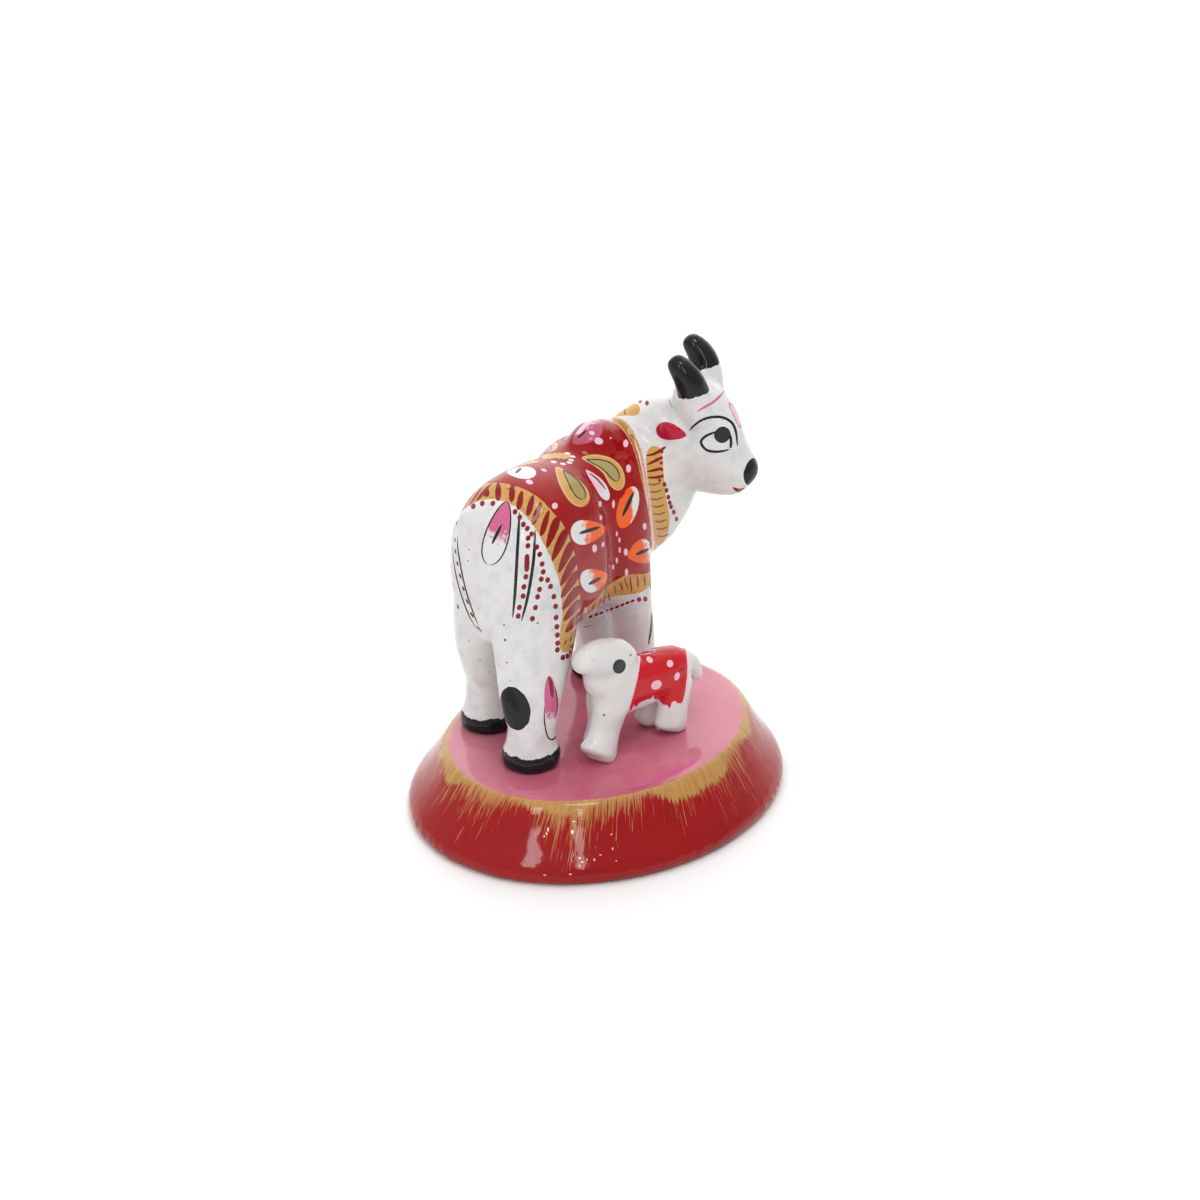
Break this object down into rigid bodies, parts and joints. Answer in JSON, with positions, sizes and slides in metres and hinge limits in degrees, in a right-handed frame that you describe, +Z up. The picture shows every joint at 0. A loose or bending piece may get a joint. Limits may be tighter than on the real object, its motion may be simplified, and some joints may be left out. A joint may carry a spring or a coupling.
{
  "type": "cow and calf statuette",
  "caption": "Small enamelled metal figure of a standing cow looking back at the calf by its side, on a low oval base with a flat underside.",
  "frame": {"origin": "centre of the oval base's flat underside", "axes": "+Z up, +X along the base's long axis towards the cow's chest, +Y towards the cow's left"},
  "size_m": [0.069, 0.0576, 0.071],
  "materials": {
    "base_enamel": "gloss enamel, pink on top, gold brush strokes over red sides",
    "cow_enamel": "gloss enamel, white with a painted red and gold cloth",
    "calf_enamel": "gloss enamel, white with a painted red blanket"
  },
  "bodies": {
    "root": {"oval_base": "base_enamel", "cow": "cow_enamel", "calf": "calf_enamel"}
  },
  "joints": []
}
